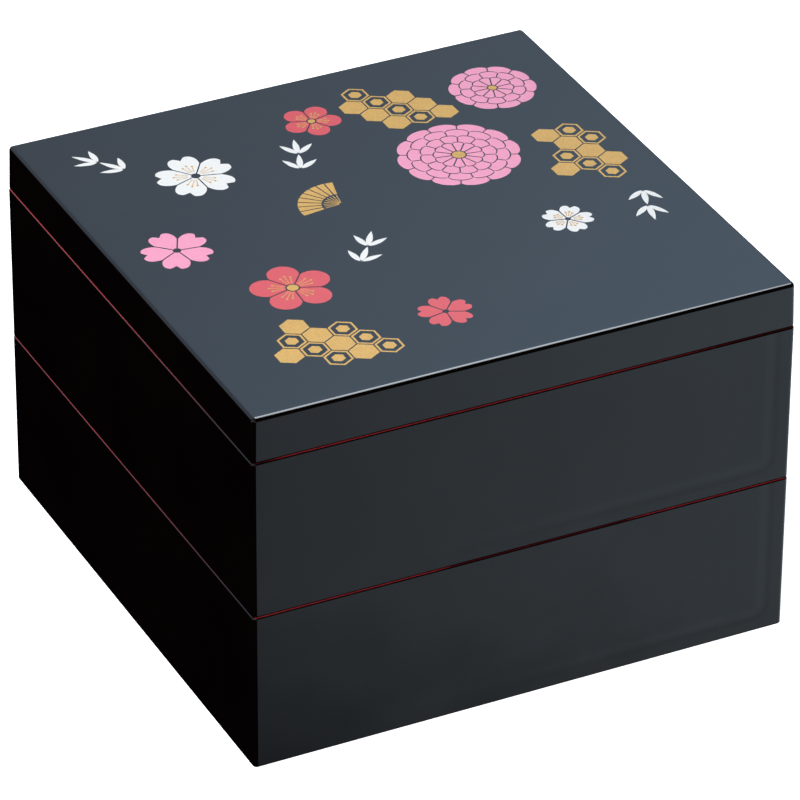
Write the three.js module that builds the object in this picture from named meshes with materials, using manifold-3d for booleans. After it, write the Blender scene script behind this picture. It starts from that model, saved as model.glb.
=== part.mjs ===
// A two-tier lacquered food box: a lid over two equal square tiers, stacked on stepped rims. Each tier
// holds a cross of two dividers and a soft inner lid. Millimetres, +Z up, the origin under the middle of
// the lower tier, on the plane that it stands on.
import * as THREE from "three";
import { mergeVertices } from "three/addons/utils/BufferGeometryUtils.js";
import Module from "manifold-3d";

const wasm = await Module();
wasm.setup();

// Driving dimensions: the stack
const width = 180; // of a tier across its shoulder, and its depth too
const tierHeight = 53.5; // foot to shoulder, which is also the pitch of the stack
const lidHeight = 15; // skirt edge to top
const cornerRadius = 1.4; // upright outer corners
const fit = 0.3; // clearance between pieces that slip into or over each other

// Tiers
const wall = 4; // thickness at the rim
const lipWidth = 1.8; // the inner part of the rim, which stands up as a lip
const lipHeight = 3.6;
const lipCorner = 2.4; // upright outer corners of the lip
const tierLean = 0.05; // how far a side leans in from the shoulder down to the foot
const floorThickness = 2.4;
const insideCorner = 7; // upright corners of the inside, at the lip
const insideLean = 0.5; // how far the inside narrows from the lip down to the floor
const floorFillet = 4;
const shoulderRound = 0.65;
const footRound = 0.6;
const lipRound = 0.6;

// Lid
const lidTop = 2.4; // thickness of the flat top
const lidLean = 0.25; // how far its side leans in from the skirt edge up to the top
const lidInset = 0.1; // how far the skirt edge stands inside the tier's shoulder
const lidTopRound = 1.3;
const skirtRound = 0.6;
const ceilingFillet = 1.5;

// Inner lid, a soft tray that plugs the tier's mouth and hangs on its lip by a flange
const flangeThickness = 1;
const panelThickness = 1;
const panelSink = 3; // from the flange's top down to the panel's
const traySide = 1.2; // thickness of the tray's upright side
const trayRound = 0.8;
const beadFromEdge = 18; // from the plug's side to the middle of the raised bead on the panel
const beadWidth = 4;
const beadHeight = 1;
const gripLength = 34; // the rib in the middle that is pinched to pull the lid out
const gripWidth = 3;
const gripHeight = 1.9; // above the panel
const gripRoot = 0.4; // how deep the rib starts inside the panel
const gripRound = 0.5;

// Dividers
const plate = 1.6; // thickness of a divider
const plateHeadroom = 1; // between a divider's top edge and the inner lid
const plateCorner = 2; // upper corners, seen from the side
const plateEdge = 0.3; // rounding along the edges of the sheet

// Smoothness
const cornerSteps = 5; // faces round an upright corner
const edgeSteps = 3; // faces round a small edge
const filletSteps = 4; // faces round a hollow corner
const outlineSteps = 4; // faces round an arc of an extruded outline

// Places that follow from the sizes
const outside = width / 2;
const inside = outside - wall;
const lipOutside = inside + lipWidth;
const lipTop = tierHeight + lipHeight;
const sleeve = lipOutside + fit; // inner side of a foot or skirt, which slips over a lip
const sleeveCorner = lipCorner + fit;
const footHeight = lipHeight + flangeThickness + fit; // room for the lip and the inner lid's flange
const floorTop = footHeight + floorThickness;
const insideAtFloor = inside - insideLean;
const flangeTop = lipTop + flangeThickness;
const panelTop = flangeTop - panelSink;
const panelUnderside = panelTop - panelThickness;
const plateBottom = floorTop + fit;
const plateHeight = panelUnderside - plateHeadroom - plateBottom;
const plateReach = insideAtFloor - fit; // half the length of a divider

const lacquer = { color: 0x15191c, roughness: 0.14, metalness: 0 };
const milky = { color: 0xe6eaec, roughness: 0.45, metalness: 0, transparent: true, opacity: 0.7 };
const satin = { color: 0x1b1c1e, roughness: 0.38, metalness: 0 };

const upwards = new THREE.Vector3(0, 0, 1);
const quarterTurn = Math.PI / 2;

// One level of a square piece: half its width, the radius of its upright corners, and its height.
const level = (half, corner, z) => ({ half, corner, z });

// Levels round an arc of a piece's section. half, corner and z are at the arc's centre. The angles are in
// degrees, 0 pointing out of the box and 90 up.
function arc(half, corner, z, radius, from, to, steps = edgeSteps) {
  return Array.from({ length: steps + 1 }, (_, step) => {
    const angle = THREE.MathUtils.degToRad(from + ((to - from) * step) / steps);
    const out = radius * Math.cos(angle);
    return level(half + out, corner + out, z + radius * Math.sin(angle));
  });
}

// The points of a level: a square with round corners, anticlockwise from above.
function ring({ half, corner, z }) {
  const points = [];
  for (let quarter = 0; quarter < 4; quarter++) {
    const start = quarter * quarterTurn;
    const centre = new THREE.Vector3(half - corner, half - corner, z).applyAxisAngle(upwards, start);
    for (let step = 0; step <= cornerSteps; step++) {
      const angle = start + (step / cornerSteps) * quarterTurn;
      const out = new THREE.Vector3(Math.cos(angle), Math.sin(angle), 0);
      points.push(centre.clone().addScaledVector(out, corner));
    }
  }
  return points;
}

// A closed solid through the levels of its section, which run from the middle of the underside outwards,
// up, and back in to the middle of the upper side.
function loft(levels) {
  const rings = levels.map(ring);
  const count = rings[0].length;
  const lastRing = (rings.length - 1) * count;
  const undersideCentre = lastRing + count;
  const upperCentre = undersideCentre + 1;
  const points = rings.flat();
  points.push(new THREE.Vector3(0, 0, levels[0].z));
  points.push(new THREE.Vector3(0, 0, levels[levels.length - 1].z));
  const faces = [];
  for (let i = 0; i < count; i++) {
    const next = (i + 1) % count;
    faces.push(undersideCentre, next, i);
    faces.push(upperCentre, lastRing + i, lastRing + next);
    for (let low = 0; low < lastRing; low += count) {
      const high = low + count;
      faces.push(low + i, low + next, high + next);
      faces.push(low + i, high + next, high + i);
    }
  }
  return new THREE.BufferGeometry().setFromPoints(points).setIndex(faces);
}

// A geometry as a solid for joining, with only its positions left.
function solid(geometry) {
  const bare = geometry.clone();
  bare.deleteAttribute("normal");
  bare.deleteAttribute("uv");
  const merged = mergeVertices(bare, 1e-4);
  const vertProperties = merged.attributes.position.array;
  const triVerts = new Uint32Array(merged.index.array);
  return new wasm.Manifold(new wasm.Mesh({ numProp: 3, vertProperties, triVerts }));
}

// Two geometries joined into one.
function join(a, b) {
  const mesh = solid(a).add(solid(b)).getMesh();
  return new THREE.BufferGeometry()
    .setAttribute("position", new THREE.BufferAttribute(mesh.vertProperties, 3))
    .setIndex(new THREE.BufferAttribute(mesh.triVerts, 1));
}

// A tier: a hollow foot that slips over the lip below, a leaning side, a shoulder for the piece above to
// stand on, a lip, and the inside down to a filleted floor.
function tierGeometry() {
  const foot = outside - tierLean;
  return loft([
    level(sleeve, sleeveCorner, footHeight),
    ...arc(sleeve + footRound, sleeveCorner + footRound, footRound, footRound, 180, 270),
    ...arc(foot - footRound, cornerRadius - footRound, footRound, footRound, 270, 360),
    ...arc(
      outside - shoulderRound, cornerRadius - shoulderRound, tierHeight - shoulderRound, shoulderRound, 0, 90,
    ),
    level(lipOutside, lipCorner, tierHeight),
    ...arc(lipOutside - lipRound, lipCorner - lipRound, lipTop - lipRound, lipRound, 0, 90),
    ...arc(inside + lipRound, insideCorner + lipRound, lipTop - lipRound, lipRound, 90, 180),
    ...arc(
      insideAtFloor - floorFillet, insideCorner - floorFillet, floorTop + floorFillet, floorFillet, 0, -90,
      filletSteps,
    ),
  ]);
}

// The lid: a flat top with a skirt that stands on a tier's shoulder, round its lip.
function lidGeometry() {
  const skirt = outside - lidInset;
  const top = skirt - lidLean;
  const ceiling = lidHeight - lidTop;
  return loft([
    ...arc(
      sleeve - ceilingFillet, sleeveCorner - ceilingFillet, ceiling - ceilingFillet, ceilingFillet, 90, 0,
      filletSteps,
    ),
    ...arc(sleeve + skirtRound, sleeveCorner + skirtRound, skirtRound, skirtRound, 180, 270),
    ...arc(skirt - skirtRound, cornerRadius - skirtRound, skirtRound, skirtRound, 270, 360),
    ...arc(top - lidTopRound, cornerRadius - lidTopRound, lidHeight - lidTopRound, lidTopRound, 0, 90),
  ]);
}

// The rib that is pinched to pull an inner lid out, at its height in a tier.
function gripGeometry() {
  const endRadius = gripWidth / 2 - gripRound;
  const endCentre = gripLength / 2 - gripRound - endRadius;
  const outline = new THREE.Shape();
  outline.absarc(endCentre, 0, endRadius, -quarterTurn, quarterTurn, false);
  outline.absarc(-endCentre, 0, endRadius, quarterTurn, 3 * quarterTurn, false);
  const grip = new THREE.ExtrudeGeometry(outline, {
    depth: gripHeight + gripRoot - 2 * gripRound,
    curveSegments: outlineSteps,
    bevelThickness: gripRound,
    bevelSize: gripRound,
    bevelSegments: 2,
  });
  return grip.translate(0, 0, panelTop - gripRoot + gripRound);
}

// The inner lid, at its height in a tier: a plug under the flange, a tray sunk in it whose floor is the
// panel, and on the panel a raised square bead and the grip.
function innerLidGeometry() {
  const plug = inside - fit;
  const plugCorner = insideCorner - fit;
  const tray = plug - traySide;
  const trayCorner = plugCorner - traySide;
  const flangeRound = flangeThickness / 2;
  const bead = plug - beadFromEdge;
  const foot = beadWidth / 2;
  const crest = beadWidth / 4;
  const tub = loft([
    ...arc(plug - trayRound, plugCorner - trayRound, panelUnderside + trayRound, trayRound, 270, 360),
    level(plug, plugCorner, lipTop),
    ...arc(lipOutside - flangeRound, lipCorner - flangeRound, lipTop + flangeRound, flangeRound, -90, 90),
    ...arc(tray + trayRound, trayCorner + trayRound, flangeTop - trayRound, trayRound, 90, 180),
    ...arc(tray - trayRound, trayCorner - trayRound, panelTop + trayRound, trayRound, 0, -90),
    level(bead + foot, plugCorner, panelTop),
    level(bead + crest, plugCorner, panelTop + beadHeight),
    level(bead - crest, plugCorner, panelTop + beadHeight),
    level(bead - foot, plugCorner, panelTop),
  ]);
  return join(tub, gripGeometry());
}

// A divider, made upright along X with its lower edge at z = 0. The long one has its slot in the upper
// edge, and the one laid across it has its slot in the lower edge.
function dividerGeometry(slotAbove) {
  const slot = plate / 2 + fit;
  const footRadius = floorFillet + fit;
  const footCentre = plateReach - footRadius;
  const topCentre = plateReach - plateCorner;
  const topCornerHeight = plateHeight - plateCorner;
  const slotEnd = slotAbove ? (plateHeight - fit) / 2 : (plateHeight + fit) / 2;
  const outline = new THREE.Shape();
  outline.absarc(-footCentre, footRadius, footRadius, 2 * quarterTurn, 3 * quarterTurn, false);
  if (!slotAbove) {
    outline.lineTo(-slot, 0);
    outline.lineTo(-slot, slotEnd);
    outline.lineTo(slot, slotEnd);
    outline.lineTo(slot, 0);
  }
  outline.absarc(footCentre, footRadius, footRadius, -quarterTurn, 0, false);
  outline.absarc(topCentre, topCornerHeight, plateCorner, 0, quarterTurn, false);
  if (slotAbove) {
    outline.lineTo(slot, plateHeight);
    outline.lineTo(slot, slotEnd);
    outline.lineTo(-slot, slotEnd);
    outline.lineTo(-slot, plateHeight);
  }
  outline.absarc(-topCentre, topCornerHeight, plateCorner, quarterTurn, 2 * quarterTurn, false);
  const divider = new THREE.ExtrudeGeometry(outline, {
    depth: plate - 2 * plateEdge,
    curveSegments: outlineSteps,
    bevelThickness: plateEdge,
    bevelSize: plateEdge,
    bevelOffset: -plateEdge,
    bevelSegments: 1,
  });
  return divider.translate(0, 0, -plate / 2 + plateEdge).rotateX(quarterTurn);
}

function piece(name, geometry, finish, z = 0) {
  const mesh = new THREE.Mesh(geometry, new THREE.MeshStandardMaterial(finish));
  mesh.name = name;
  mesh.position.z = z;
  return mesh;
}

// A tier with what it holds: the dividers stand just clear of its floor, and the inner lid hangs in its
// mouth.
function tierGroup(name) {
  const crossing = dividerGeometry(false).rotateZ(quarterTurn);
  const group = new THREE.Group();
  group.add(piece(`${name}_tier`, tierGeometry(), lacquer));
  group.add(piece(`${name}_long_divider`, dividerGeometry(true), satin, plateBottom));
  group.add(piece(`${name}_cross_divider`, crossing, satin, plateBottom));
  group.add(piece(`${name}_inner_lid`, innerLidGeometry(), milky));
  return group;
}

const foodBox = new THREE.Group();
["lower", "upper"].forEach((name, floor) => {
  const tier = tierGroup(name);
  tier.position.z = floor * tierHeight;
  foodBox.add(tier);
});
foodBox.add(piece("lid", lidGeometry(), lacquer, 2 * tierHeight));

export default foodBox;
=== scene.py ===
import math

import bmesh
import bpy
import numpy as np
from mathutils import Matrix, Vector


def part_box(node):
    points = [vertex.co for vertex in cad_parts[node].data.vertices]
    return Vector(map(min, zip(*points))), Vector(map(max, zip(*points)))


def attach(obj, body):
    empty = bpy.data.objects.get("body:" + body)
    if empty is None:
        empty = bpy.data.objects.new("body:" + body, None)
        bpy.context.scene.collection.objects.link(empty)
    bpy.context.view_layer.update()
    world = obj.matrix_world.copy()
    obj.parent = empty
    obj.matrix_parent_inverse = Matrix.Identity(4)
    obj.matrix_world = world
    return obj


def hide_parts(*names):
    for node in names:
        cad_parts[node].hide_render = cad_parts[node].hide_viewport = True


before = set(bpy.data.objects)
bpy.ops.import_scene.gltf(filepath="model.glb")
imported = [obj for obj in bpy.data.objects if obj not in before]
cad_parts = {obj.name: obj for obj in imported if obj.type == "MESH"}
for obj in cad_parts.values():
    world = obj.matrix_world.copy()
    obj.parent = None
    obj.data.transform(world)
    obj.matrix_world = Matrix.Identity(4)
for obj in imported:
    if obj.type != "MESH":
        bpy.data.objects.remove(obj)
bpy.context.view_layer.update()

# Sizes in metres. Those that the frame knows are read from it
MM = 0.001
FLOORS = ("lower", "upper")
lower_low, lower_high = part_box("lower_tier")
upper_low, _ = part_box("upper_tier")
lid_low, lid_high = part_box("lid")
inner_low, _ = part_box("lower_inner_lid")

OUTSIDE = lower_high.x
PITCH = upper_low.z - lower_low.z
LIP_TOP = lower_high.z
CORNER = 1.4 * MM
FIT = 0.3 * MM

# Tiers
WALL = 4 * MM
LIP_WIDTH = 1.8 * MM
LIP_CORNER = 2.4 * MM
TIER_LEAN = 0.05 * MM
FLOOR_THICKNESS = 2.4 * MM
INSIDE_CORNER = 7 * MM
INSIDE_LEAN = 0.5 * MM
FLOOR_FILLET = 4 * MM
SHOULDER_ROUND = 0.65 * MM
FOOT_ROUND = 0.6 * MM
LIP_ROUND = 0.6 * MM

# Lid
LID_TOP = 2.4 * MM
LID_LEAN = 0.25 * MM
LID_TOP_ROUND = 1.2 * MM
SKIRT_ROUND = 0.6 * MM
CEILING_FILLET = 1.5 * MM

# Inner lid
FLANGE = 1 * MM
PANEL = 1 * MM
TRAY_SIDE = 1.2 * MM
TRAY_ROUND = 0.8 * MM
BEAD_FROM_EDGE = 18 * MM
BEAD_WIDTH = 4 * MM
BEAD_HEIGHT = 1 * MM
GRIP_LENGTH = 34 * MM
GRIP_WIDTH = 3 * MM
GRIP_HEIGHT = 1.9 * MM
GRIP_ROOT = 0.4 * MM
GRIP_ROUND = 0.5 * MM

# Dividers
PLATE_CORNER = 2 * MM
PLATE_EDGE = 0.3 * MM

# Lacquer and ink, as thin solids that reach a little way into what they cover. Lacquer, and ink that is
# printed over ink, end at the outer surface, and other ink ends INK_OVER below it
COAT = 0.06 * MM
COAT_SUNK = 0.025 * MM
INK = 0.02 * MM
INK_OVER = 0.008 * MM
INK_SUNK = 0.01 * MM

# Where the red starts on the round edge of a tier, in degrees up from its side
RED_FROM = 45

INSIDE = OUTSIDE - WALL
LIP_OUTSIDE = INSIDE + LIP_WIDTH
SLEEVE = LIP_OUTSIDE + FIT
SLEEVE_CORNER = LIP_CORNER + FIT
FOOT_HEIGHT = LIP_TOP - PITCH + FLANGE + FIT
FLOOR_TOP = FOOT_HEIGHT + FLOOR_THICKNESS
FLANGE_TOP = LIP_TOP + FLANGE
PANEL_UNDERSIDE = inner_low.z
PANEL_TOP = PANEL_UNDERSIDE + PANEL

# Marks of the moulding on a tier's sides. They grow stronger along x
SINK_INSET = 6.6 * MM
SINK_RISE = 5.6 * MM
SINK_CORNER = 4 * MM
SINK_WIDTH = 4 * MM
SINK_OUTER_WIDTH = 2.6 * MM
SINK_OUTER_SHARE = 0.65
SINK_BLEND = 0.1
SINK_LEAN = -0.085
SINK_START = -50 * MM
SINK_FULL = 85 * MM

# Smoothness
CORNER_STEPS = 14
ARC_STEPS = 7
FILLET_STEPS = 12
SIDE_STEPS = 30
INNER_SIDE_STEPS = 12
BEAD_STEPS = 16
BAR_STEPS = 24
BAR_ROUND_STEPS = 5
PLATE_CORNER_STEPS = 10

# Flat rings between the round edge of a face and its middle
FACE_RING = 2 * MM
TOP_RING = 3 * MM
PLUG_RING = 4 * MM


def level(half, corner, z):
    """One level of a square piece: half its width, the radius of its upright corners, its height."""
    return half, corner, z


def arc(half, corner, z, radius, start, end, steps=ARC_STEPS):
    """Levels round an arc of a section, whose centre is given. Degrees, 0 pointing out and 90 up."""
    levels = []
    for step in range(steps + 1):
        angle = math.radians(start + (end - start) * step / steps)
        out = radius * math.cos(angle)
        levels.append(level(half + out, corner + out, z + radius * math.sin(angle)))
    return levels


def raised(levels, base):
    return [level(half, corner, z + base) for half, corner, z in levels]


def ring(half, corner, z, side_steps):
    """The points of a level, anticlockwise from above."""
    corner_angles = np.linspace(0, math.pi / 2, CORNER_STEPS + 1)
    middle = half - corner
    arc_points = np.stack([np.cos(corner_angles), np.sin(corner_angles)], 1) * corner + middle
    along = np.linspace(0, 1, side_steps + 1)[1:-1, None]
    next_start = np.array([-middle, half])
    side_points = arc_points[-1] * (1 - along) + next_start * along
    quarter = np.concatenate([arc_points, side_points])
    turned = [quarter]
    for _ in range(3):
        last = turned[-1]
        turned.append(np.stack([-last[:, 1], last[:, 0]], 1))
    flat = np.concatenate(turned)
    return np.concatenate([flat, np.full((len(flat), 1), z)], 1)


def new_object(name, points, faces):
    mesh = bpy.data.meshes.new(name)
    mesh.from_pydata([tuple(p) for p in points], [], faces)
    mesh.validate()
    piece = bpy.data.objects.new(name, mesh)
    bpy.context.scene.collection.objects.link(piece)
    return piece


def loft(name, levels, side_steps=1):
    """A closed solid through levels, from the middle of the underside out, up and back in."""
    rings = [ring(*one, side_steps) for one in levels]
    count = len(rings[0])
    last = (len(rings) - 1) * count
    faces = [list(range(count))[::-1], list(range(last, last + count))]
    for low in range(0, last, count):
        high = low + count
        for i in range(count):
            after = (i + 1) % count
            faces.append([low + i, low + after, high + after, high + i])
    return new_object(name, np.concatenate(rings), faces)


def smooth(piece, angle=35):
    """Smooth shading with sharp corners kept, and flat faces that stay flat."""
    mesh = piece.data
    mesh.polygons.foreach_set("use_smooth", [True] * len(mesh.polygons))
    mesh.set_sharp_from_angle(angle=math.radians(angle))
    weighted = piece.modifiers.new("weighted_normals", "WEIGHTED_NORMAL")
    weighted.keep_sharp = True
    weighted.weight = 100
    return piece


def dress(piece, material, body):
    piece.data.materials.clear()
    piece.data.materials.append(material)
    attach(piece, body)
    return piece


# Sections of the pieces. depth is how far below the outer surface the levels run


def shoulder_arc(radius, start, end):
    """Part of the round edge between a tier's side and the shoulder that its lip stands on."""
    half = OUTSIDE - SHOULDER_ROUND
    return arc(half, CORNER - SHOULDER_ROUND, PITCH - SHOULDER_ROUND, radius, start, end)


def tier_outside(base):
    """From the middle of the recess under a tier, round its foot and up its side to the red line."""
    foot = OUTSIDE - TIER_LEAN
    under = SLEEVE + FOOT_ROUND
    under_corner = SLEEVE_CORNER + FOOT_ROUND
    ring_inside = SLEEVE - FACE_RING
    levels = [level(half, SLEEVE_CORNER, FOOT_HEIGHT) for half in (ring_inside, SLEEVE)]
    levels += arc(under, under_corner, FOOT_ROUND, FOOT_ROUND, 180, 270)
    levels += arc(foot - FOOT_ROUND, CORNER - FOOT_ROUND, FOOT_ROUND, FOOT_ROUND, 270, 360)
    levels += shoulder_arc(SHOULDER_ROUND, 0, RED_FROM)
    return raised(levels, base)


def tier_inside(base, depth):
    """From the red line over the shoulder and the lip, down the inside to the middle of the floor."""
    lip = LIP_ROUND - depth
    fillet = FLOOR_FILLET + depth
    at_floor = INSIDE - INSIDE_LEAN - FLOOR_FILLET
    levels = shoulder_arc(SHOULDER_ROUND - depth, RED_FROM, 90)
    levels.append(level(LIP_OUTSIDE - depth, LIP_CORNER - depth, PITCH - depth))
    levels += arc(LIP_OUTSIDE - LIP_ROUND, LIP_CORNER - LIP_ROUND, LIP_TOP - LIP_ROUND, lip, 0, 90)
    levels += arc(INSIDE + LIP_ROUND, INSIDE_CORNER + LIP_ROUND, LIP_TOP - LIP_ROUND, lip, 90, 180)
    levels += arc(
        at_floor, INSIDE_CORNER - FLOOR_FILLET, FLOOR_TOP + FLOOR_FILLET, fillet, 0, -90, FILLET_STEPS
    )
    levels.append(level(at_floor - FACE_RING, INSIDE_CORNER - FLOOR_FILLET, FLOOR_TOP - depth))
    return raised(levels, base)


def lid_inside(depth):
    """From the middle of the lid's ceiling out and down its skirt."""
    base = lid_low.z
    ceiling = lid_high.z - LID_TOP
    middle = SLEEVE - CEILING_FILLET
    corner = SLEEVE_CORNER - CEILING_FILLET
    fillet = CEILING_FILLET + depth
    levels = [level(middle - FACE_RING, corner, ceiling + depth)]
    levels += arc(middle, corner, ceiling - CEILING_FILLET, fillet, 90, 0, FILLET_STEPS)
    levels.append(level(SLEEVE + depth, SLEEVE_CORNER + depth, base + SKIRT_ROUND))
    return levels


def lid_outside():
    """From the inner side of the lid's skirt round its edge and up to the middle of the top."""
    base = lid_low.z
    edge = lid_high.x
    top = edge - LID_LEAN
    top_z = lid_high.z - INK
    under = SLEEVE + SKIRT_ROUND
    levels = arc(under, SLEEVE_CORNER + SKIRT_ROUND, base + SKIRT_ROUND, SKIRT_ROUND, 180, 270)
    levels += arc(edge - SKIRT_ROUND, CORNER - SKIRT_ROUND, base + SKIRT_ROUND, SKIRT_ROUND, 270, 360)
    levels += arc(top - LID_TOP_ROUND, CORNER - LID_TOP_ROUND, top_z - LID_TOP_ROUND, LID_TOP_ROUND, 0, 90)
    levels.append(level(top - TOP_RING, CORNER, top_z))
    return levels


# Materials. A noise's scale is its number of cells to the metre

# The stretch of a noise that a ramp follows. A narrower one has more contrast
NOISE_STRETCH = (0.3, 0.7)
CLOUD_STRETCH = (0.35, 0.65)
GRAIN_STRETCH = (0.36, 0.64)

LACQUER_IOR = 1.5
LACQUER_UNEVEN = (0.8, 1.25)
HAZE_SCALE = 60.0
PEEL_SCALE = 380.0
PEEL_HEIGHT = 0.002 * MM
CLOUD_SCALE = 25.0
WAVE_SCALE = 26.0
TIER_WAVES = 0.15 * MM
LID_WAVES = 0.05 * MM
BLACK_ROUGHNESS = 0.07
DEEP_BLACK = (0.0022, 0.0009, 0.0009, 1)
LIGHT_BLACK = (0.0034, 0.0015, 0.0015, 1)
RED_ROUGHNESS = 0.1
DEEP_RED = (0.44, 0.030, 0.036, 1)
LIGHT_RED = (0.50, 0.038, 0.046, 1)
# Painted shade: the near-black that the red seams are darkened to
PAINTED_SEAM_SHADE = (0.003, 0.001, 0.001, 1)

# Where the red is darkened towards black as painted shade in the seams: on an outer edge, along y on the
# left, and along x on the front of either tier
SEAM_SHADE_EDGE = (-OUTSIDE + 0.7 * MM, -OUTSIDE + 0.6 * MM)
SEAM_SHADE_LEFT = (-80 * MM, 50 * MM)
SEAM_SHADE_WANDER = 30 * MM
SEAM_SHADE_WANDER_SCALE = 35.0
SEAM_SHADE_LOWER_MIDDLE = 4.5 * MM
SEAM_SHADE_LOWER_REACH = (28 * MM, 34 * MM)
SEAM_SHADE_LOWER_SHARE = 0.74
SEAM_SHADE_CORNER = (-86 * MM, -78 * MM)
SEAM_SHADE_CORNER_SHARE = 0.75
SEAM_SHADE_RIGHT = (10 * MM, 80 * MM)
SEAM_SHADE_RIGHT_SHARES = (0.1, 0.85)
UPPER_TIER_FROM = (1.3 * PITCH, 1.4 * PITCH)

INK_IOR = 1.48
INK_UNEVEN = (0.85, 1.15)
INK_RELIEF = 0.002 * MM
INK_PATCH_SCALE = 160.0
INK_PATCH_SHARE = 0.25


class Nodes:
    """A short way to build a node tree."""

    def __init__(self, tree):
        self.tree = tree
        tree.nodes.clear()

    def add(self, kind, **settings):
        node = self.tree.nodes.new(kind)
        for name, value in settings.items():
            setattr(node, name, value)
        return node

    def put(self, socket, value):
        if isinstance(value, bpy.types.NodeSocket):
            self.tree.links.new(value, socket)
        else:
            socket.default_value = value

    def math(self, operation, *values):
        node = self.add("ShaderNodeMath", operation=operation)
        for socket, value in zip(node.inputs, values):
            self.put(socket, value)
        return node.outputs[0]

    def dot(self, vector, axis):
        node = self.add("ShaderNodeVectorMath", operation="DOT_PRODUCT")
        self.put(node.inputs[0], vector)
        node.inputs[1].default_value = axis
        return node.outputs["Value"]

    def ramp(self, value, start, end, low=0.0, high=1.0):
        node = self.add("ShaderNodeMapRange", interpolation_type="SMOOTHSTEP")
        self.put(node.inputs["Value"], value)
        for name, number in zip(("From Min", "From Max", "To Min", "To Max"), (start, end, low, high)):
            node.inputs[name].default_value = number
        return node.outputs[0]

    def noise(self, where, scale, detail=2.0, roughness=0.5):
        node = self.add("ShaderNodeTexNoise")
        self.put(node.inputs["Vector"], where)
        node.inputs["Scale"].default_value = scale
        node.inputs["Detail"].default_value = detail
        node.inputs["Roughness"].default_value = roughness
        return node.outputs[0]

    def mix(self, share, first, second, blend="MIX"):
        """Two colours mixed. The node's colours are its inputs 6 and 7 and its output 2."""
        node = self.add("ShaderNodeMix", data_type="RGBA", blend_type=blend)
        self.put(node.inputs[0], share)
        self.put(node.inputs[6], first)
        self.put(node.inputs[7], second)
        return node.outputs[2]

    def bump(self, height, distance, normal=None):
        node = self.add("ShaderNodeBump")
        node.inputs["Distance"].default_value = distance
        self.put(node.inputs["Height"], height)
        if normal is not None:
            self.put(node.inputs["Normal"], normal)
        return node.outputs[0]

    def leaned(self, normal, along_x):
        """A normal leaned along x."""
        offset = self.add("ShaderNodeCombineXYZ")
        self.put(offset.inputs[0], along_x)
        total = self.add("ShaderNodeVectorMath", operation="ADD")
        self.put(total.inputs[0], normal)
        self.put(total.inputs[1], offset.outputs[0])
        unit = self.add("ShaderNodeVectorMath", operation="NORMALIZE")
        self.put(unit.inputs[0], total.outputs[0])
        return unit.outputs[0]


def surface(name, sockets):
    """A material with one Principled shader, its nodes and the shader. sockets holds values by name."""
    material = bpy.data.materials.new(name)
    material.use_nodes = True
    nodes = Nodes(material.node_tree)
    shader = nodes.add("ShaderNodeBsdfPrincipled")
    for socket, value in sockets.items():
        shader.inputs[socket].default_value = value
    output = nodes.add("ShaderNodeOutputMaterial")
    nodes.put(output.inputs["Surface"], shader.outputs[0])
    return material, nodes, shader


def place(nodes):
    return nodes.add("ShaderNodeTexCoord").outputs["Object"]


def sink_marks(nodes, where):
    """How far the sides lean along x in shallow bands, where the round inner corners behind them shrank."""
    apart = nodes.add("ShaderNodeSeparateXYZ")
    nodes.put(apart.inputs[0], where)
    x, y, z = apart.outputs
    across = nodes.math("MINIMUM", nodes.math("ABSOLUTE", x), nodes.math("ABSOLUTE", y))
    from_edge = nodes.math("SUBTRACT", OUTSIDE - SINK_INSET, across)
    above = nodes.math("SUBTRACT", nodes.math("MODULO", z, PITCH), SINK_RISE)
    beside = nodes.math("SUBTRACT", SINK_CORNER, from_edge)
    below = nodes.math("SUBTRACT", SINK_CORNER, above)
    outer = nodes.add("ShaderNodeCombineXYZ")
    nodes.put(outer.inputs[0], nodes.math("MAXIMUM", beside, 0.0))
    nodes.put(outer.inputs[1], nodes.math("MAXIMUM", below, 0.0))
    length = nodes.add("ShaderNodeVectorMath", operation="LENGTH")
    nodes.put(length.inputs[0], outer.outputs[0])
    inner = nodes.math("MINIMUM", nodes.math("MAXIMUM", beside, below), 0.0)
    away = nodes.math("SUBTRACT", nodes.math("ADD", length.outputs["Value"], inner), SINK_CORNER)
    inner_share = nodes.math("DIVIDE", away, SINK_WIDTH)
    outer_share = nodes.math("DIVIDE", away, SINK_OUTER_WIDTH)
    share = nodes.math("MAXIMUM", inner_share, outer_share)
    share = nodes.math("MINIMUM", nodes.math("MAXIMUM", share, -1.0), 1.0)
    fade = nodes.math("SUBTRACT", 1.0, nodes.math("MULTIPLY", share, share))
    band = nodes.math("MULTIPLY", nodes.math("MULTIPLY", share, fade), fade)
    band = nodes.math("MULTIPLY", band, nodes.ramp(share, -SINK_BLEND, SINK_BLEND, 1.0, SINK_OUTER_SHARE))
    along = nodes.ramp(x, SINK_START, SINK_FULL, 0.0, SINK_LEAN)
    return nodes.math("MULTIPLY", band, along)


def uneven_roughness(nodes, noise, roughness, factors):
    return nodes.ramp(noise, *NOISE_STRETCH, *[roughness * factor for factor in factors])


def urethane(name, roughness):
    """Sprayed urethane: a glass-smooth coat with a faint orange peel. Returns the coat's normal too."""
    material, nodes, shader = surface(name, {"IOR": LACQUER_IOR})
    where = place(nodes)
    haze = nodes.noise(where, HAZE_SCALE, detail=4.0, roughness=0.6)
    nodes.put(shader.inputs["Roughness"], uneven_roughness(nodes, haze, roughness, LACQUER_UNEVEN))
    normal = nodes.bump(nodes.noise(where, PEEL_SCALE, detail=1.0), PEEL_HEIGHT)
    return material, nodes, shader, where, normal


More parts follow.
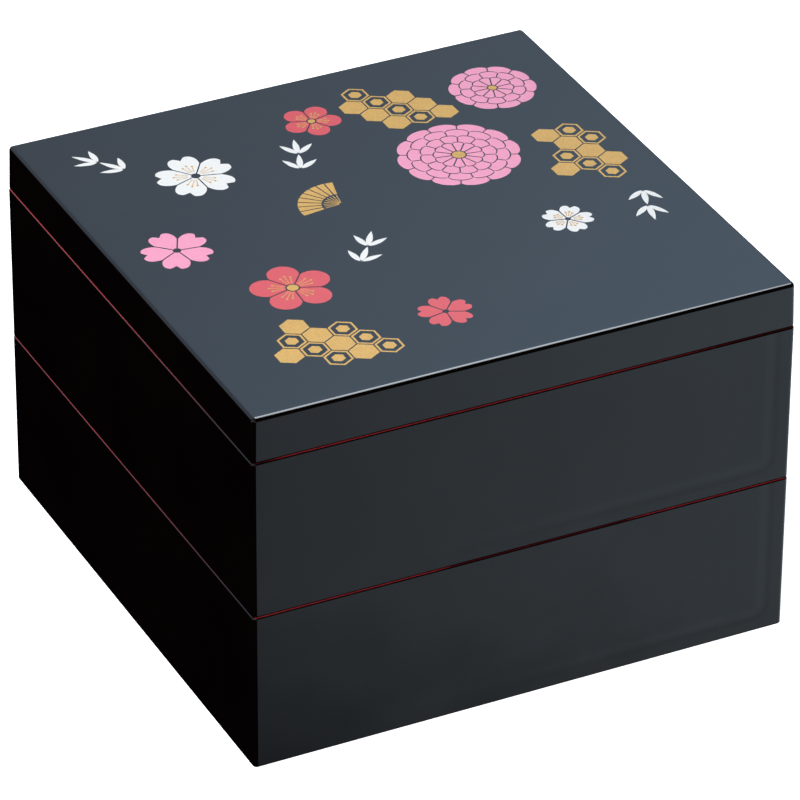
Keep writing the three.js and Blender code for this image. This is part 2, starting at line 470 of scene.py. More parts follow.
def black_lacquer(name, waves, marked=False):
    """Black urethane on a moulding that isn't quite flat, with sink marks if it is marked."""
    material, nodes, shader, where, normal = urethane(name, BLACK_ROUGHNESS)
    cloud = nodes.noise(where, CLOUD_SCALE, detail=3.0)
    colour = nodes.mix(nodes.ramp(cloud, *CLOUD_STRETCH), DEEP_BLACK, LIGHT_BLACK)
    nodes.put(shader.inputs["Base Color"], colour)
    normal = nodes.bump(nodes.noise(where, WAVE_SCALE, detail=1.0), waves, normal)
    if marked:
        normal = nodes.leaned(normal, sink_marks(nodes, where))
    nodes.put(shader.inputs["Normal"], normal)
    return material


def red_lacquer():
    """Red urethane, with painted shade that darkens it towards black in places along the edges of the left
    side and the front.
    """
    material, nodes, shader, where, normal = urethane("red_urethane", RED_ROUGHNESS)
    cloud = nodes.noise(where, CLOUD_SCALE, detail=3.0)
    red = nodes.mix(nodes.ramp(cloud, *CLOUD_STRETCH), DEEP_RED, LIGHT_RED)
    apart = nodes.add("ShaderNodeSeparateXYZ")
    nodes.put(apart.inputs[0], where)
    x, y, z = apart.outputs
    wander = nodes.noise(where, SEAM_SHADE_WANDER_SCALE, detail=1.0)
    uneven = nodes.math("MULTIPLY_ADD", wander, SEAM_SHADE_WANDER, y)
    left = nodes.math("MULTIPLY", nodes.ramp(x, *SEAM_SHADE_EDGE), nodes.ramp(uneven, *SEAM_SHADE_LEFT, 1.0, 0.0))
    off_middle = nodes.math("ABSOLUTE", nodes.math("SUBTRACT", x, SEAM_SHADE_LOWER_MIDDLE))
    on_lower = nodes.ramp(off_middle, *SEAM_SHADE_LOWER_REACH, SEAM_SHADE_LOWER_SHARE, 0.0)
    at_corner = nodes.ramp(x, *SEAM_SHADE_CORNER, SEAM_SHADE_CORNER_SHARE, 0.0)
    on_upper = nodes.math("ADD", at_corner, nodes.ramp(x, *SEAM_SHADE_RIGHT, *SEAM_SHADE_RIGHT_SHARES))
    is_upper = nodes.ramp(z, *UPPER_TIER_FROM)
    on_tier = nodes.add("ShaderNodeMix", data_type="FLOAT")
    for socket, value in zip((0, 2, 3), (is_upper, on_lower, on_upper)):
        nodes.put(on_tier.inputs[socket], value)
    front = nodes.math("MULTIPLY", nodes.ramp(y, *SEAM_SHADE_EDGE), on_tier.outputs[0])
    # Painted shade: the red is darkened towards black in these places along the seams
    painted_shade = nodes.math("MAXIMUM", left, front)
    nodes.put(shader.inputs["Base Color"], nodes.mix(painted_shade, red, PAINTED_SEAM_SHADE))
    nodes.put(shader.inputs["Normal"], normal)
    return material


def ink(name, deep, light, grain, roughness):
    """Screen-printed ink: an even film with the grain of its pigment."""
    material, nodes, shader = surface(name, {"IOR": INK_IOR})
    where = place(nodes)
    grains = nodes.noise(where, grain, detail=2.0, roughness=0.7)
    patches = nodes.noise(where, INK_PATCH_SCALE, detail=2.0)
    grain_share = nodes.ramp(grains, *GRAIN_STRETCH, 0.0, 1 - INK_PATCH_SHARE)
    share = nodes.math("MULTIPLY_ADD", patches, INK_PATCH_SHARE, grain_share)
    nodes.put(shader.inputs["Base Color"], nodes.mix(share, deep, light))
    nodes.put(shader.inputs["Roughness"], uneven_roughness(nodes, grains, roughness, INK_UNEVEN))
    nodes.put(shader.inputs["Normal"], nodes.bump(grains, INK_RELIEF))
    return material


def plastic_sheet(name, deep, light, cloud_scale, grain_noise, roughness, relief, sockets):
    """A bare moulding with a fine grain. grain_noise is the scale, detail and roughness of its noise."""
    material, nodes, shader = surface(name, sockets)
    where = place(nodes)
    cloud = nodes.noise(where, cloud_scale, detail=3.0)
    nodes.put(shader.inputs["Base Color"], nodes.mix(nodes.ramp(cloud, *NOISE_STRETCH), deep, light))
    grain = nodes.noise(where, *grain_noise)
    nodes.put(shader.inputs["Roughness"], nodes.ramp(grain, *NOISE_STRETCH, *roughness))
    nodes.put(shader.inputs["Normal"], nodes.bump(grain, relief))
    return material


BLACK = black_lacquer("black_urethane", TIER_WAVES, marked=True)
LID_BLACK = black_lacquer("lid_black_urethane", LID_WAVES)
RED = red_lacquer()
MILKY = plastic_sheet(
    "milky_polyethylene",
    deep=(0.80, 0.84, 0.87, 1),
    light=(0.88, 0.91, 0.93, 1),
    cloud_scale=45.0,
    grain_noise=(2200.0, 2.0, 0.5),
    roughness=(0.34, 0.46),
    relief=0.006 * MM,
    sockets={"IOR": 1.5, "Transmission Weight": 0.55},
)
SHEET = plastic_sheet(
    "black_polypropylene",
    deep=(0.010, 0.010, 0.011, 1),
    light=(0.017, 0.017, 0.018, 1),
    cloud_scale=70.0,
    grain_noise=(1900.0, 3.0, 0.6),
    roughness=(0.34, 0.48),
    relief=0.012 * MM,
    sockets={"IOR": 1.49},
)
GOLD = ink(
    "gold_print", deep=(0.445, 0.225, 0.016, 1), light=(0.71, 0.40, 0.043, 1), grain=2600.0, roughness=0.36
)
PINK = ink(
    "pink_print", deep=(0.77, 0.252, 0.39, 1), light=(0.87, 0.297, 0.455, 1), grain=2300.0, roughness=0.34
)
CORAL = ink(
    "red_print", deep=(0.57, 0.025, 0.035, 1), light=(0.66, 0.035, 0.047, 1), grain=2300.0, roughness=0.34
)
WHITE = ink(
    "white_print", deep=(0.735, 0.72, 0.69, 1), light=(0.81, 0.795, 0.765, 1), grain=2300.0, roughness=0.34
)


# The box


def make_tier(name, base):
    tier = f"{name}_tier"
    shell = loft(f"{tier}_shell", tier_outside(base) + tier_inside(base, COAT - COAT_SUNK), SIDE_STEPS)
    dress(smooth(shell), BLACK, tier)
    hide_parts(tier)
    under = tier_inside(base, COAT)
    coat = loft(f"{tier}_red_coat", under[::-1] + tier_inside(base, 0.0), SIDE_STEPS)
    dress(smooth(coat), RED, tier)


def make_lid():
    shell = loft("lid_shell", lid_inside(COAT - COAT_SUNK) + lid_outside(), SIDE_STEPS)
    dress(smooth(shell), LID_BLACK, "lid")
    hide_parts("lid")
    coat = loft("lid_red_coat", lid_inside(0.0) + lid_inside(COAT)[::-1], SIDE_STEPS)
    dress(smooth(coat), RED, "lid")


def apply_modifiers(piece):
    graph = bpy.context.evaluated_depsgraph_get()
    piece.data = bpy.data.meshes.new_from_object(piece.evaluated_get(graph))
    piece.modifiers.clear()


def rounded_bar(name, length, width, height, round_radius):
    """A bar with half-round ends and a rounded top, standing on z = 0."""
    points = []
    faces = []
    levels = [(width / 2, 0.0)]
    for step in range(BAR_ROUND_STEPS + 1):
        angle = math.pi / 2 * step / BAR_ROUND_STEPS
        inset = round_radius * (1 - math.cos(angle))
        levels.append((width / 2 - inset, height - round_radius + round_radius * math.sin(angle)))
    end = length / 2 - width / 2
    around = BAR_STEPS
    for radius, z in levels:
        for i in range(around):
            angle = 2 * math.pi * (i + 0.5) / around
            x = end if math.cos(angle) > 0 else -end
            points.append((x + radius * math.cos(angle), radius * math.sin(angle), z))
    for low in range(0, (len(levels) - 1) * around, around):
        for i in range(around):
            after = (i + 1) % around
            faces.append([low + i, low + after, low + around + after, low + around + i])
    faces.append(list(range(around))[::-1])
    faces.append(list(range(len(points) - around, len(points))))
    return new_object(name, points, faces)


def make_inner_lid(name, base):
    plug = INSIDE - FIT
    plug_corner = INSIDE_CORNER - FIT
    tray = plug - TRAY_SIDE
    tray_corner = plug_corner - TRAY_SIDE
    half_flange = FLANGE / 2
    bead = plug - BEAD_FROM_EDGE
    levels = [level(plug - PLUG_RING, plug_corner, PANEL_UNDERSIDE)]
    levels += arc(
        plug - TRAY_ROUND, plug_corner - TRAY_ROUND, PANEL_UNDERSIDE + TRAY_ROUND, TRAY_ROUND, 270, 360
    )
    levels.append(level(plug, plug_corner, LIP_TOP))
    levels += arc(
        LIP_OUTSIDE - half_flange, LIP_CORNER - half_flange, LIP_TOP + half_flange, half_flange, -90, 90
    )
    levels += arc(tray + TRAY_ROUND, tray_corner + TRAY_ROUND, FLANGE_TOP - TRAY_ROUND, TRAY_ROUND, 90, 180)
    levels += arc(tray - TRAY_ROUND, tray_corner - TRAY_ROUND, PANEL_TOP + TRAY_ROUND, TRAY_ROUND, 0, -90)
    for step in range(BEAD_STEPS + 1):
        across = 1 - 2 * step / BEAD_STEPS
        height = BEAD_HEIGHT * 0.5 * (1 + math.cos(math.pi * across))
        levels.append(level(bead + across * BEAD_WIDTH / 2, plug_corner, PANEL_TOP + height))
    node = f"{name}_inner_lid"
    tub = loft(f"{node}_tray", raised(levels, base), INNER_SIDE_STEPS)
    grip = rounded_bar(f"{node}_grip", GRIP_LENGTH, GRIP_WIDTH, GRIP_HEIGHT + GRIP_ROOT, GRIP_ROUND)
    grip.data.transform(Matrix.Translation((0, 0, base + PANEL_TOP - GRIP_ROOT)))
    union = tub.modifiers.new("grip", "BOOLEAN")
    union.operation = "UNION"
    union.solver = "EXACT"
    union.object = grip
    apply_modifiers(tub)
    bpy.data.objects.remove(grip)
    dress(smooth(tub), MILKY, node)
    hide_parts(node)


def plate_outline(half, height, slot_half, slot_above, slot_end, foot_radius):
    """The upright outline of a divider, anticlockwise, from the bottom of its left foot."""
    steps = PLATE_CORNER_STEPS

    def bend(x, z, radius, start):
        angles = [math.radians(start + 90 * step / steps) for step in range(steps + 1)]
        return [(x + radius * math.cos(a), z + radius * math.sin(a)) for a in angles]

    foot = half - foot_radius
    top = half - PLATE_CORNER
    high = height - PLATE_CORNER
    points = bend(-foot, foot_radius, foot_radius, 180)
    if not slot_above:
        points += [(-slot_half, 0), (-slot_half, slot_end), (slot_half, slot_end), (slot_half, 0)]
    points += bend(foot, foot_radius, foot_radius, 270)
    points += bend(top, high, PLATE_CORNER, 0)
    if slot_above:
        points += [(slot_half, height), (slot_half, slot_end), (-slot_half, slot_end), (-slot_half, height)]
    points += bend(-top, high, PLATE_CORNER, 90)
    return points


def make_divider(node, across):
    low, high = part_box(node)
    half = high.y if across else high.x
    thickness = high.x - low.x if across else high.y - low.y
    height = high.z - low.z
    slot_half = thickness / 2 + FIT
    slot_end = height / 2 + (FIT if across else -FIT) / 2
    outline = plate_outline(half, height, slot_half, not across, slot_end, FLOOR_FILLET + FIT)
    mesh = bpy.data.meshes.new(f"{node}_plate")
    work = bmesh.new()
    front = [work.verts.new((x, -thickness / 2, z)) for x, z in outline]
    back = [work.verts.new((x, thickness / 2, z)) for x, z in outline]
    faces = [work.faces.new(front), work.faces.new(back[::-1])]
    rims = [edge for face in faces for edge in face.edges]
    count = len(outline)
    for i in range(count):
        after = (i + 1) % count
        work.faces.new([front[after], front[i], back[i], back[after]])
    bmesh.ops.bevel(work, geom=rims, offset=PLATE_EDGE, segments=3, profile=0.5, affect="EDGES")
    bmesh.ops.recalc_face_normals(work, faces=work.faces)
    turn = math.pi / 2 if across else 0.0
    work.transform(Matrix.Translation((0, 0, low.z)) @ Matrix.Rotation(turn, 4, "Z"))
    work.to_mesh(mesh)
    work.free()
    plate = bpy.data.objects.new(f"{node}_plate", mesh)
    bpy.context.scene.collection.objects.link(plate)
    dress(smooth(plate), SHEET, node)
    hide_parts(node)


for floor, floor_name in enumerate(FLOORS):
    make_tier(floor_name, floor * PITCH)
    make_inner_lid(floor_name, floor * PITCH)
    make_divider(f"{floor_name}_long_divider", across=False)
    make_divider(f"{floor_name}_cross_divider", across=True)
make_lid()


# The print on the lid: flowers, tortoiseshell lattice, a fan and bamboo leaves, each a thin film of ink.
# Sizes are in millimetres here, on the lid's top, with x to the right and y to the back

# The bare line between two films
GAP = 0.42

# The flowers and the fan: centre, radius and turn. Every angle here is in radians
LARGE = (34, 24), 19.5, 0.1
SECOND = (63, 58), 14.0, 0.3
PLUM = (-47, -27), 13.0, 0.25
SMALL_PLUM = (2, 63), 9.5, 0.9
CHERRY = (-69, 8), 11.0, 0.5
SMALL_CHERRY = (-12, -59), 8.5, 0.2
PALE_CHERRY = (-45, 47), 12.5, 0.35
SMALL_PALE_CHERRY = (46, -26), 8.0, 1.0
FLOWERS = (LARGE, SECOND, PLUM, SMALL_PLUM, CHERRY, SMALL_CHERRY, PALE_CHERRY, SMALL_PALE_CHERRY)
FAN = (-12, 12), 13.5, 2.3

# Parts of a flower. Names that end in MM are in millimetres, and the others are shares of a radius
CHRYSANTHEMUM_HEART = 0.13
TIP_DEPTH = 0.075
TIP_DEPTH_MORE_MM = 0.35
PLUM_HEART = 0.17
CHERRY_HEART = 0.12
NOTCH_DEPTH = 0.16
PETAL_SIDE_DROP = 0.42
STAMEN_REACH = 0.52
STAMEN_SIDE_SHORTER = 0.06
STAMEN_START_MM = 0.4
STAMEN_HALF_WIDTH_MM = 0.14
ANTHER_MM = 0.42
ANTHER_AHEAD_MM = 0.3

# Shares of half a petal's angle
STAMEN_SPREAD = 0.42
NOTCH_WIDTH = 0.24
PETAL_SIDE_FROM = 0.35

# An exponent under 1 crowds the outer rows of a chrysanthemum
ROW_CROWDING = 0.85

# A plum's round petals against circles that would just touch
PLUM_LOBE = 1.03

# A cell of the lattice: its radius, the core's share of its film, and how many radii it keeps from a flower
CELL = 4.8
CELL_INSET_MM = 0.6 * GAP
CELL_LINE_MM = 0.75
CELL_CORE = 0.48
CELL_MARGIN = 0.8
SOLID, OPEN = "solid", "open"

# The fan. The paper and the ribs start and end at shares of its radius
FAN_SPREAD = math.radians(112)
FAN_FOLDS = 9
FAN_PAPER_FROM = 0.46
FAN_RIB_FROM = 0.06
FAN_RIB_TO = 0.41
FAN_RIB_HALF_WIDTH_MM = 0.17
FAN_RIB_TAPER = 0.5

# Bamboo. Exponents under 1 make a leaf widest nearer its root, and fuller
LEAF_LENGTH_MM = 7.5
LEAF_WIDTH_MM = 1.75
LEAF_STEM_MM = 0.55
LEAF_SKEW = 0.8
LEAF_FULLNESS = 0.9
LEAF_SIDE_SHARE = 0.85
SPRIG_SIZE = 1.15

# Where each three leaves start along a sprig, in steps of so many leaf lengths, and their angles from it
SPRIG_STEP = 1.15
SPRIG_THREES = ((0.0, (-0.75, 0.0, 0.75)), (0.95, (-0.62, 0.1, 0.8)))


class Print:
    """The films of one colour, gathered into one piece."""

    def __init__(self, name, material, slot):
        self.name, self.material, self.slot = name, material, slot
        self.points = []
        self.faces = []

    def film(self, outline, over=False, hole=None):
        """A film with the given outline, and a hole of as many points if it has one."""
        top = lid_high.z - (0.0 if over else INK_OVER)
        low = lid_high.z - INK - INK_SUNK
        loops = [outline] if hole is None else [outline, hole]
        starts = []
        for loop in loops:
            for z in (low, top):
                starts.append(len(self.points))
                self.points += [(x * MM, y * MM, z) for x, y in loop]
        count = len(outline)
        for i in range(count):
            after = (i + 1) % count
            self.faces.append([starts[0] + i, starts[0] + after, starts[1] + after, starts[1] + i])
            if hole is not None:
                self.faces.append([starts[2] + after, starts[2] + i, starts[3] + i, starts[3] + after])
                self.faces.append([starts[1] + i, starts[1] + after, starts[3] + after, starts[3] + i])
                self.faces.append([starts[0] + after, starts[0] + i, starts[2] + i, starts[2] + after])
        if hole is None:
            self.faces.append([starts[0] + i for i in range(count)][::-1])
            self.faces.append([starts[1] + i for i in range(count)])

    def finish(self):
        piece = new_object(self.name, self.points, self.faces)
        dress(piece, self.material, "lid")


gold = Print("print_gold", GOLD, "gold_ink")
pink = Print("print_pink", PINK, "pink_ink")
coral = Print("print_red", CORAL, "red_ink")
white = Print("print_white", WHITE, "white_ink")


def polar(centre, radius, angle):
    return centre[0] + radius * math.cos(angle), centre[1] + radius * math.sin(angle)


def disc(centre, radius, steps=20):
    return [polar(centre, radius, 2 * math.pi * i / steps) for i in range(steps)]


def petal(centre, axis, half_angle, inner, outer, steps=14):
    """An outline between two radii that are functions of the angle from the axis."""
    points = []
    for i in range(steps + 1):
        share = 2 * i / steps - 1
        radius = outer(share * half_angle)
        edge = half_angle - GAP / 2 / radius
        points.append(polar(centre, outer(share * edge), axis + share * edge))
    for i in range(steps + 1):
        share = 1 - 2 * i / steps
        radius = inner(share * half_angle)
        edge = max(half_angle - GAP / 2 / max(radius, GAP), 0.0)
        points.append(polar(centre, inner(share * edge), axis + share * edge))
    return points


def constant(radius):
    """A circle, as a radius for each angle."""
    return lambda angle: radius


def scallop(radius, depth, half_angle):
    """The round tip of a petal, as a radius for each angle from its axis."""
    return lambda angle: radius - depth * (1 - math.sqrt(max(1 - (angle / half_angle) ** 2, 0.0)))


def behind(tip, half_angle):
    """Where a petal starts between two tips of the row inside it, as a radius for each angle."""
    return lambda angle: tip(half_angle - abs(angle)) + GAP


def chrysanthemum(ink_film, centre, radius, turn, rows, count):
    """Rows of narrow petals, each row showing between the petals of the one inside it."""
    half_angle = math.pi / count
    heart = radius * CHRYSANTHEMUM_HEART
    gold.film(disc(centre, heart - GAP))
    inside = constant(heart)
    for row in range(rows):
        outer_radius = heart + (radius - heart) * ((row + 1) / rows) ** ROW_CROWDING
        tip = scallop(outer_radius, TIP_DEPTH * outer_radius + TIP_DEPTH_MORE_MM, half_angle)
        shift = half_angle * (row % 2)
        for i in range(count):
            axis = turn + shift + 2 * half_angle * i
            ink_film.film(petal(centre, axis, half_angle, inside, tip))
        inside = behind(tip, half_angle)


def plum(ink_film, centre, radius, turn):
    """Five round petals with gold stamens printed over them."""
    half_angle = math.pi / 5
    reach = radius / (1 + math.sin(half_angle) * PLUM_LOBE)
    lobe = radius - reach
    heart = radius * PLUM_HEART

    def tip(angle):
        return reach * math.cos(angle) + math.sqrt(max(lobe**2 - (reach * math.sin(angle)) ** 2, 0.0))

    for i in range(5):
        axis = turn + 2 * half_angle * i
        ink_film.film(petal(centre, axis, half_angle, constant(heart), tip, steps=24))
    gold.film(disc(centre, heart - GAP))
    stamens(centre, radius, turn)


def stamens(centre, radius, turn):
    """Three gold stamens printed over each of five petals."""
    for i in range(5):
        axis = turn + 2 * math.pi / 5 * i
        for side in (-1, 0, 1):
            angle = axis + side * math.pi / 5 * STAMEN_SPREAD
            end = radius * (STAMEN_REACH - STAMEN_SIDE_SHORTER * abs(side))
            stamen(centre, angle, radius * PLUM_HEART + STAMEN_START_MM, end)


def stamen(centre, angle, start, end):
    width = STAMEN_HALF_WIDTH_MM
    root = polar(centre, start, angle)
    top = polar(centre, end, angle)
    across = (-math.sin(angle) * width, math.cos(angle) * width)
    gold.film([
        (root[0] - across[0], root[1] - across[1]), (top[0] - across[0], top[1] - across[1]),
        (top[0] + across[0], top[1] + across[1]), (root[0] + across[0], root[1] + across[1]),
    ], over=True)
    gold.film(disc(polar(centre, end + ANTHER_AHEAD_MM, angle), ANTHER_MM, steps=12), over=True)


def cherry(ink_film, centre, radius, turn):
    """Five petals with a notch in each tip."""
    half_angle = math.pi / 5
    heart = radius * CHERRY_HEART

    def tip(angle):
        share = abs(angle) / half_angle
        notch = NOTCH_DEPTH * max(1 - share / NOTCH_WIDTH, 0.0)
        past = max(share - PETAL_SIDE_FROM, 0.0) / (1 - PETAL_SIDE_FROM)
        return radius * (1 - notch - PETAL_SIDE_DROP * past**2)

    for i in range(5):
        axis = turn + 2 * half_angle * i
        ink_film.film(petal(centre, axis, half_angle, constant(heart), tip, steps=32))


def hexagon(centre, radius):
    """Six corners, one of them straight to the back."""
    return [polar(centre, radius, math.pi / 6 + math.pi / 3 * i) for i in range(6)]


def tortoiseshell(origin, cells):
    """A patch of hexagons on a lattice, clear of the flowers. A cell has a column, a row and a kind."""
    outer = CELL - CELL_INSET_MM
    for column, row, kind in cells:
        x = (column + row / 2) * CELL * math.sqrt(3)
        y = row * CELL * 1.5
        centre = (origin[0] + x, origin[1] + y)
        if any(math.dist(centre, flower) < radius + CELL * CELL_MARGIN for flower, radius, _ in FLOWERS):
            continue
        if kind == SOLID:
            gold.film(hexagon(centre, outer))
        else:
            gold.film(hexagon(centre, outer), hole=hexagon(centre, outer - CELL_LINE_MM))
            gold.film(hexagon(centre, outer * CELL_CORE))


def fan(centre, radius, turn):
    """A folding fan: pleated paper over thin ribs."""
    step = FAN_SPREAD / FAN_FOLDS
    paper_inside = constant(radius * FAN_PAPER_FROM)
    for i in range(FAN_FOLDS):
        axis = turn - FAN_SPREAD / 2 + step * (i + 0.5)
        gold.film(petal(centre, axis, step / 2, paper_inside, constant(radius), steps=4))
        rib_start = polar(centre, radius * FAN_RIB_FROM, axis)
        rib_end = polar(centre, radius * FAN_RIB_TO, axis)
        across = (-math.sin(axis) * FAN_RIB_HALF_WIDTH_MM, math.cos(axis) * FAN_RIB_HALF_WIDTH_MM)
        narrow = (across[0] * FAN_RIB_TAPER, across[1] * FAN_RIB_TAPER)
        gold.film([
            (rib_start[0] - narrow[0], rib_start[1] - narrow[1]),
            (rib_end[0] - across[0], rib_end[1] - across[1]),
            (rib_end[0] + across[0], rib_end[1] + across[1]),
            (rib_start[0] + narrow[0], rib_start[1] + narrow[1]),
        ])


def leaf(ink_film, root, length, width, angle, steps=12):
    """A pointed leaf from its root along an angle."""
    ahead = (math.cos(angle), math.sin(angle))
    left = (-ahead[1], ahead[0])
    sides = []
    for side in (-1, 1):
        edge = []
        for i in range(1, steps):
            share = i / steps
            out = side * width / 2 * math.sin(math.pi * share**LEAF_SKEW) ** LEAF_FULLNESS
            along = length * share
            edge.append((
                root[0] + ahead[0] * along + left[0] * out,
                root[1] + ahead[1] * along + left[1] * out,
            ))
        sides.append(edge)
    tip = (root[0] + ahead[0] * length, root[1] + ahead[1] * length)
    ink_film.film([root] + sides[0] + [tip] + sides[1][::-1])


def bamboo(root, turn, size):
    """A sprig of bamboo: two groups of three leaves, with no stem drawn."""
    length = LEAF_LENGTH_MM * size
    for steps_up, angles in SPRIG_THREES:
        at = polar(root, steps_up * length * SPRIG_STEP, turn)
        middle = angles[1]
        for angle in angles:
            reach = length if angle == middle else length * LEAF_SIDE_SHARE
            start = polar(at, LEAF_STEM_MM, turn + angle)
            leaf(white, start, reach, LEAF_WIDTH_MM * size, turn + angle)


chrysanthemum(pink, *LARGE, rows=4, count=12)
chrysanthemum(pink, *SECOND, rows=3, count=10)
plum(coral, *PLUM)
plum(coral, *SMALL_PLUM)
cherry(pink, *CHERRY)
cherry(coral, *SMALL_CHERRY)
cherry(white, *PALE_CHERRY)
cherry(white, *SMALL_PALE_CHERRY)
stamens(*PALE_CHERRY)
stamens(*SMALL_PALE_CHERRY)
tortoiseshell(
    (30, 58), [
        (-2, 0, OPEN), (-2, 1, SOLID), (-1, 0, SOLID), (-1, 1, OPEN), (0, 0, OPEN), (0, -1, SOLID),
        (1, -1, OPEN), (1, 0, SOLID), (-2, 2, OPEN), (0, 1, SOLID), (2, -1, SOLID), (2, -2, OPEN),
    ],
)
tortoiseshell(
    (68, 16), [
        (0, 0, SOLID), (0, 1, OPEN), (1, 0, OPEN), (0, -1, OPEN), (1, -1, SOLID), (1, -2, OPEN),
        (-1, 1, SOLID), (2, -2, SOLID), (0, -2, SOLID), (2, -3, OPEN),
    ],
)
tortoiseshell(
    (-48, -62), [
        (0, 0, SOLID), (1, 0, OPEN), (-1, 0, OPEN), (-1, 1, SOLID), (0, -1, OPEN), (1, -1, SOLID),
        (2, -1, OPEN), (-2, 1, OPEN), (-2, 2, SOLID), (0, 1, OPEN), (-2, 0, SOLID),
    ],
)
fan(*FAN)
bamboo((-63, 60), 2.2, SPRIG_SIZE)
bamboo((-14, 37), 1.2, SPRIG_SIZE)
bamboo((75, -20), -1.9, SPRIG_SIZE)
bamboo((-22, -22), 0.9, SPRIG_SIZE)
for one in (gold, pink, coral, white):
    one.finish()


# Floor, light and camera

LENS = 268.06
CAMERA_AZIMUTH = math.radians(-26.414)
CAMERA_ELEVATION = math.radians(31.653)
CAMERA_ROLL = math.radians(0.398)
CAMERA_DISTANCE = 1846.3 * MM
CAMERA_TARGET = Vector((0, 0, 60 * MM))
CAMERA_SLIDE = (2.07 * MM, -4.16 * MM)
SENSOR_WIDTH = 36.0
FLOOR_HALF = 12.0
NO_LIGHT = (0, 0, 0, 1)
WARM_WHITE = (1.0, 0.98, 0.96)
COOL_WHITE = (0.86, 0.93, 1.0)


def make_camera():
    level_out = math.cos(CAMERA_ELEVATION)
    back = Vector((
        math.sin(CAMERA_AZIMUTH) * level_out,
        -math.cos(CAMERA_AZIMUTH) * level_out,
        math.sin(CAMERA_ELEVATION),
    ))
    level_right = Vector((math.cos(CAMERA_AZIMUTH), math.sin(CAMERA_AZIMUTH), 0))
    level_up = back.cross(level_right)
    right = level_right * math.cos(CAMERA_ROLL) + level_up * math.sin(CAMERA_ROLL)
    up = level_up * math.cos(CAMERA_ROLL) - level_right * math.sin(CAMERA_ROLL)
    place_at = CAMERA_TARGET + right * CAMERA_SLIDE[0] + up * CAMERA_SLIDE[1] + back * CAMERA_DISTANCE
    data = bpy.data.cameras.new("camera")
    data.lens = LENS
    data.sensor_width = SENSOR_WIDTH
    camera = bpy.data.objects.new("camera", data)
    turned = Matrix((right, up, back)).transposed().to_4x4()
    camera.matrix_world = Matrix.Translation(place_at) @ turned
    bpy.context.scene.collection.objects.link(camera)
    bpy.context.scene.camera = camera


def make_floor():
    """A white ground that only the camera sees, so it neither mirrors in the gloss nor lights the box."""
    corners = [(-1, -1), (1, -1), (1, 1), (-1, 1)]
    points = [(x * FLOOR_HALF, y * FLOOR_HALF, 0) for x, y in corners]
    floor_piece = new_object("floor", points, [[0, 1, 2, 3]])
    sockets = {
        "Base Color": (0.9, 0.9, 0.9, 1),
        "Roughness": 0.8,
        "Specular IOR Level": 0.0,
        "Emission Color": (1, 1, 1, 1),
        "Emission Strength": 0.95,
    }
    material, _, _ = surface("pale_floor", sockets)
    floor_piece.data.materials.append(material)
    for ray in ("glossy", "diffuse", "transmission", "volume_scatter", "shadow"):
        setattr(floor_piece, f"visible_{ray}", False)


def softbox(name, position, size_x, size_y, radiance, colour, lights=True, shines=True):
    """A soft lamp that hangs level and faces down. It lights the inks, shines in the gloss, or both."""
    data = bpy.data.lights.new(name, "AREA")
    data.shape = "RECTANGLE"
    data.size = size_x
    data.size_y = size_y
    data.energy = radiance * math.pi * size_x * size_y
    data.color = colour
    light = bpy.data.objects.new(name, data)
    light.location = position
    light.visible_diffuse = lights
    light.visible_glossy = shines
    bpy.context.scene.collection.objects.link(light)


def cosine(degrees):
    return math.cos(math.radians(degrees))


def sine(degrees):
    return math.sin(math.radians(degrees))


def aim(azimuth, elevation):
    """The direction with a compass angle from +X and a height, in degrees."""
    return cosine(azimuth) * cosine(elevation), sine(azimuth) * cosine(elevation), sine(elevation)


class Sky:
    """Sheets of light round the box, each placed by its direction from it."""

    def __init__(self, nodes):
        self.nodes = nodes
        self.total = NO_LIGHT
        self.direction = nodes.add("ShaderNodeTexCoord").outputs["Generated"]
        apart = nodes.add("ShaderNodeSeparateXYZ")
        nodes.put(apart.inputs[0], self.direction)
        self.height = apart.outputs[2]
        level_part = nodes.add("ShaderNodeVectorMath", operation="MULTIPLY")
        nodes.put(level_part.inputs[0], self.direction)
        level_part.inputs[1].default_value = (1, 1, 0)
        bearing = nodes.add("ShaderNodeVectorMath", operation="NORMALIZE")
        nodes.put(bearing.inputs[0], level_part.outputs[0])
        self.bearing = bearing.outputs[0]

    def near(self, azimuth, elevation, full, none):
        """1 within an angle of a direction, fading to 0 at a wider one."""
        nearness = self.nodes.dot(self.direction, aim(azimuth, elevation))
        return self.nodes.ramp(nearness, cosine(none), cosine(full))

    def sector(self, azimuth, full, none):
        """The same by compass angle alone."""
        nearness = self.nodes.dot(self.bearing, aim(azimuth, 0))
        return self.nodes.ramp(nearness, cosine(none), cosine(full))

    def above(self, none, full):
        return self.nodes.ramp(self.height, sine(none), sine(full))

    def below(self, none, full):
        return self.nodes.ramp(self.height, sine(full), sine(none), 1.0, 0.0)

    def sheet(self, colour, *shares):
        """Adds a sheet of a colour, as strong as its shares multiplied."""
        share = shares[0]
        for other in shares[1:]:
            share = self.nodes.math("MULTIPLY", share, other)
        light = self.nodes.mix(share, NO_LIGHT, (*colour, 1))
        self.total = self.nodes.mix(1.0, self.total, light, blend="ADD")


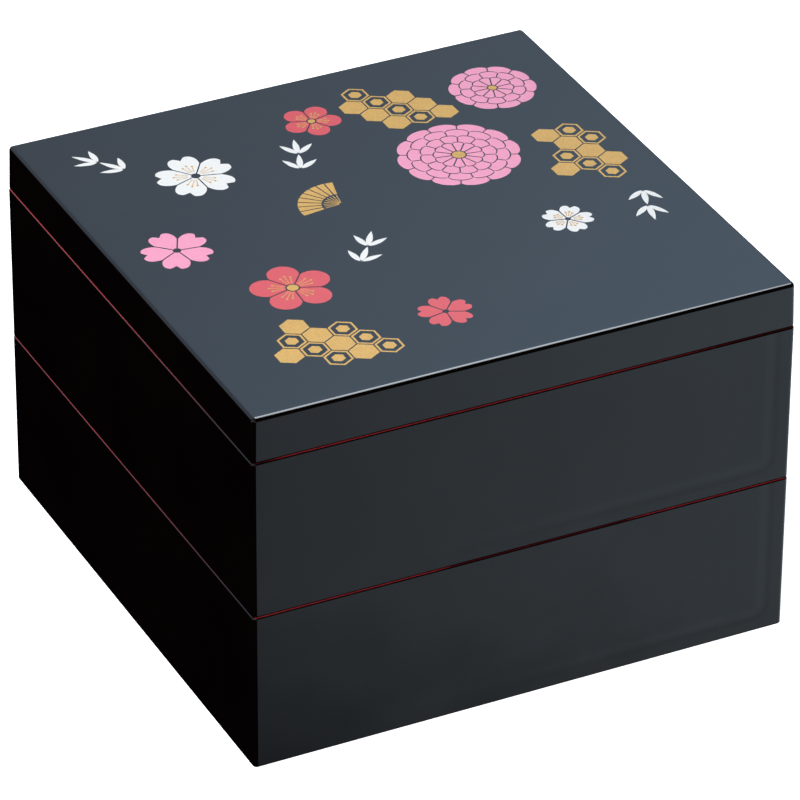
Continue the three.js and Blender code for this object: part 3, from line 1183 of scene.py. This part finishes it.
def make_world():
    """A dark studio with a blue-grey sweep behind the box and pale cards low down in front of it."""
    world = bpy.data.worlds.new("studio")
    world.use_nodes = True
    bpy.context.scene.world = world
    nodes = Nodes(world.node_tree)
    sky = Sky(nodes)
    # The sweep behind, which the lid mirrors, and its brighter part to the right
    sky.sheet((0.51, 0.65, 0.82), sky.above(3, 15), sky.sector(90, 42, 62))
    sky.sheet((0.32, 0.53, 0.74), sky.near(52, 42, 9, 19))
    # The low card in front and to the right, which the front mirrors, and its brighter upper part
    low = sky.sector(-20, 35, 57), sky.below(-13, -27)
    sky.sheet((0.70, 0.84, 0.96), *low, sky.above(-37.3, -33.3))
    sky.sheet((0.14, 0.18, 0.22), *low, sky.above(-31.4, -29.8))
    # Cards that the sides mirror when they are seen from other angles
    sky.sheet((0.50, 0.58, 0.68), sky.near(-97, -4, 4, 24))
    sky.sheet((0.50, 0.56, 0.64), sky.near(180, -6, 4, 25))
    sky.sheet((0.50, 0.57, 0.68), sky.near(82, -8, 4, 30))
    sky.sheet((0.40, 0.46, 0.56), sky.near(0, -4, 4, 28))
    sky.sheet((0.46, 0.54, 0.64), sky.near(45, -24, 6, 30))
    sky.sheet((0.50, 0.56, 0.64), sky.near(205, 32, 20, 52))
    # The picture's ground is plain white
    camera_ray = nodes.add("ShaderNodeLightPath").outputs["Is Camera Ray"]
    background = nodes.add("ShaderNodeBackground")
    nodes.put(background.inputs[0], nodes.mix(camera_ray, sky.total, (1, 1, 1, 1)))
    output = nodes.add("ShaderNodeOutputWorld")
    nodes.put(output.inputs["Surface"], background.outputs[0])


make_camera()
make_floor()
make_world()
softbox(
    "strip",
    position=(0.455, 0.4, 1.1),
    size_x=0.35,
    size_y=1.2,
    radiance=9.6,
    colour=COOL_WHITE,
    lights=False,
)
softbox(
    "overhead",
    position=(-0.45, 0.05, 1.05),
    size_x=0.5,
    size_y=0.6,
    radiance=10.0,
    colour=WARM_WHITE,
    shines=False,
)
softbox(
    "fill",
    position=(-0.3, -0.9, 0.75),
    size_x=0.5,
    size_y=0.5,
    radiance=6.8,
    colour=WARM_WHITE,
    shines=False,
)
bpy.context.scene.view_settings.view_transform = "Standard"
